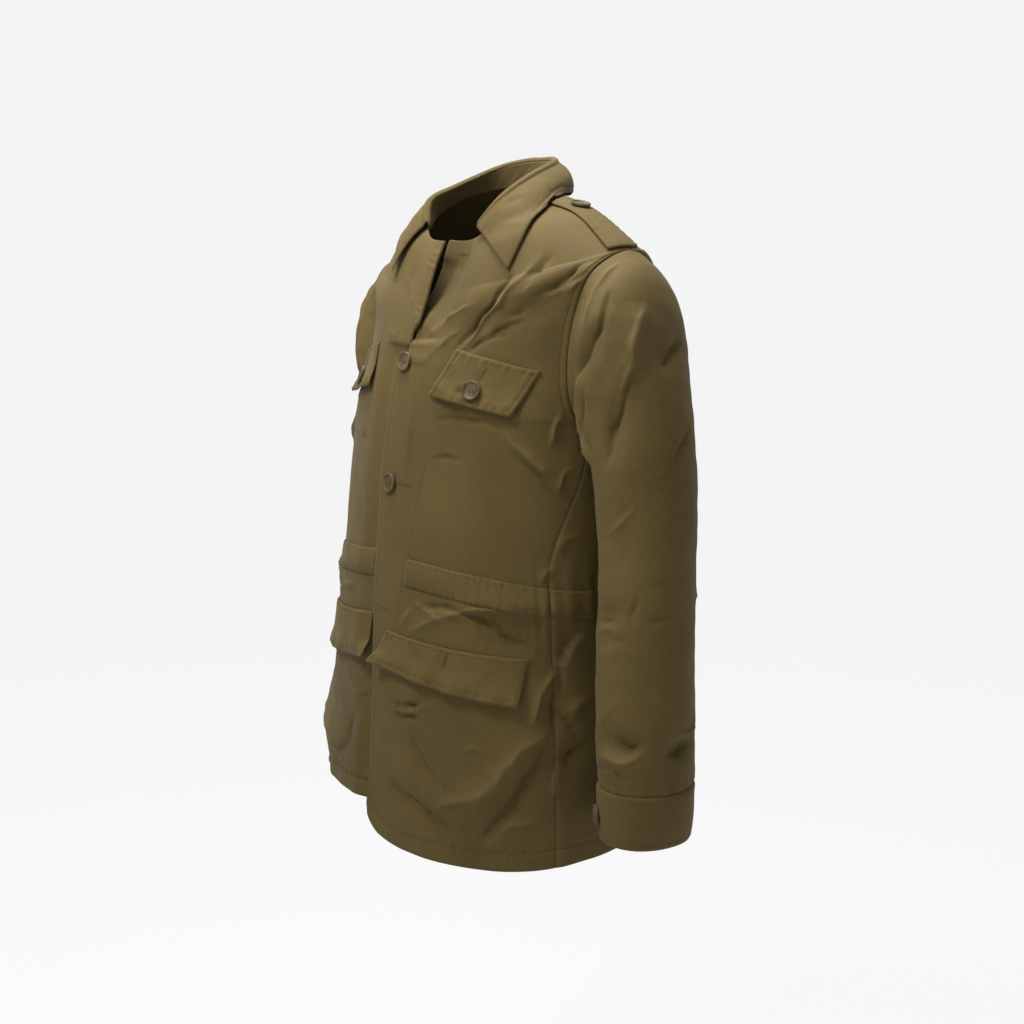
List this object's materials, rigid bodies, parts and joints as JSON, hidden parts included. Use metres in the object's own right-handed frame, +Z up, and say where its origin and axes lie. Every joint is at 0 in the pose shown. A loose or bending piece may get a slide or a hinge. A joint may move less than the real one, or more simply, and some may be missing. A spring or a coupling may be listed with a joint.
{
  "type": "padded bush jacket in worn form",
  "caption": "Hollow padded bush jacket as worn, buttoned at the chest, with a turned-down collar, shoulder straps, flapped inside pockets, a waist channel and buttoned cuffs.",
  "frame": {"origin": "on the wearer's centre plane at the base of the neck, level with the back of the neckline and between its front and its back, where a worn jacket is held up", "axes": "+Z up, -Y to the wearer's front, +X to the wearer's left"},
  "size_m": [0.642, 0.3119, 0.7644],
  "materials": {
    "olive_cloth": "matt poly-cotton with a soft sheen",
    "brown_horn_plastic": "satin, horn-like"
  },
  "bodies": {
    "root": {"back": "olive_cloth", "button_chest_left": "brown_horn_plastic", "button_chest_right": "brown_horn_plastic", "button_cuff_left": "brown_horn_plastic", "button_cuff_right": "brown_horn_plastic", "button_first": "brown_horn_plastic", "button_second": "brown_horn_plastic", "button_strap_left": "brown_horn_plastic", "button_strap_right": "brown_horn_plastic", "channel_back": "olive_cloth", "channel_front_left": "olive_cloth", "channel_front_right": "olive_cloth", "collar_leaf": "olive_cloth", "collar_stand": "olive_cloth", "cuff_left": "olive_cloth", "cuff_right": "olive_cloth", "flap_chest_left": "olive_cloth", "flap_chest_right": "olive_cloth", "flap_hip_left": "olive_cloth", "flap_hip_right": "olive_cloth", "front_left": "olive_cloth", "front_right": "olive_cloth", "shoulder_strap_left": "olive_cloth", "shoulder_strap_right": "olive_cloth", "sleeve_left": "olive_cloth", "sleeve_right": "olive_cloth"}
  },
  "joints": []
}
